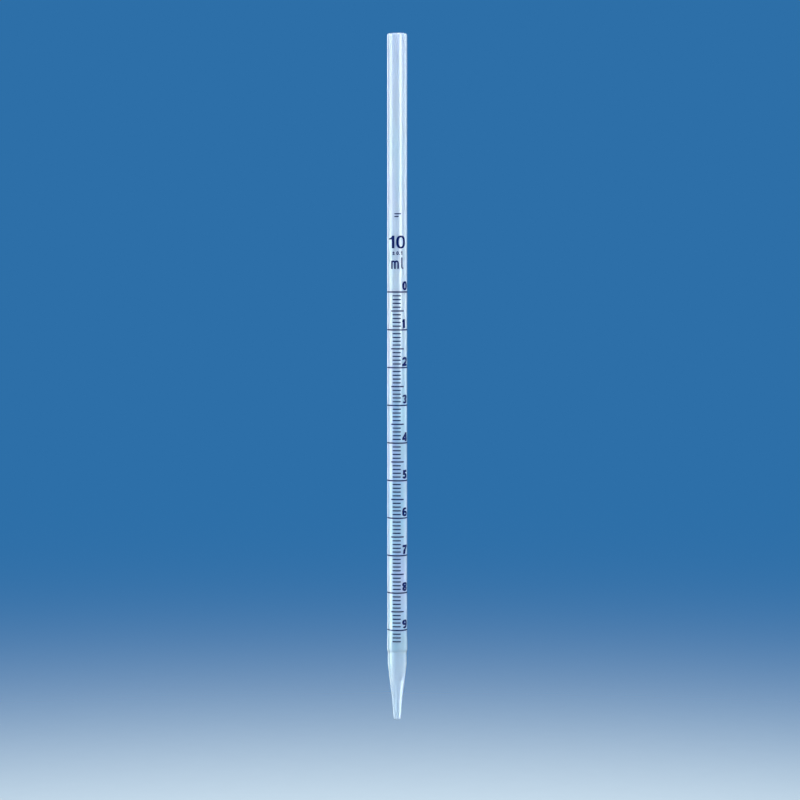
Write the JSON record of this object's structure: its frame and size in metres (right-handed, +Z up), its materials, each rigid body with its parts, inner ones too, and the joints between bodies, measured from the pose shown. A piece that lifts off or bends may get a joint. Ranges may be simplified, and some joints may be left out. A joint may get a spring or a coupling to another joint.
{
  "type": "graduated pipette",
  "caption": "Graduated measuring pipette: translucent plastic barrel, welded tapered jet and a printed volume scale.",
  "frame": {"origin": "centre of the rim at the suction end, in the plane of the rim", "axes": "+Z up along the barrel's axis, out of the suction end; the jet points down -Z; the scale faces -Y, with its figures towards +X"},
  "size_m": [0.0102, 0.0102, 0.3465],
  "materials": {
    "barrel_plastic": "translucent milky polypropylene, smooth extruded surface",
    "jet_plastic": "translucent milky polypropylene, smooth moulded surface",
    "print_ink": "dark blue printing ink, thin and slightly uneven"
  },
  "bodies": {
    "root": {"barrel": "barrel_plastic", "capacity_one": "print_ink", "capacity_zero": "print_ink", "full_mark_0": "print_ink", "full_mark_1": "print_ink", "full_mark_2": "print_ink", "full_mark_3": "print_ink", "full_mark_4": "print_ink", "full_mark_5": "print_ink", "full_mark_6": "print_ink", "full_mark_7": "print_ink", "full_mark_8": "print_ink", "full_mark_9": "print_ink", "grade_mark_lower": "print_ink", "grade_mark_upper": "print_ink", "half_mark_0": "print_ink", "half_mark_1": "print_ink", "half_mark_2": "print_ink", "half_mark_3": "print_ink", "half_mark_4": "print_ink", "half_mark_5": "print_ink", "half_mark_6": "print_ink", "half_mark_7": "print_ink", "half_mark_8": "print_ink", "jet": "jet_plastic", "numeral_0": "print_ink", "numeral_1": "print_ink", "numeral_2": "print_ink", "numeral_3": "print_ink", "numeral_4": "print_ink", "numeral_5": "print_ink", "numeral_6": "print_ink", "numeral_7": "print_ink", "numeral_8": "print_ink", "numeral_9": "print_ink", "tolerance_one": "print_ink", "tolerance_point": "print_ink", "tolerance_sign": "print_ink", "tolerance_zero": "print_ink", "unit_l": "print_ink", "unit_m": "print_ink"}
  },
  "joints": []
}
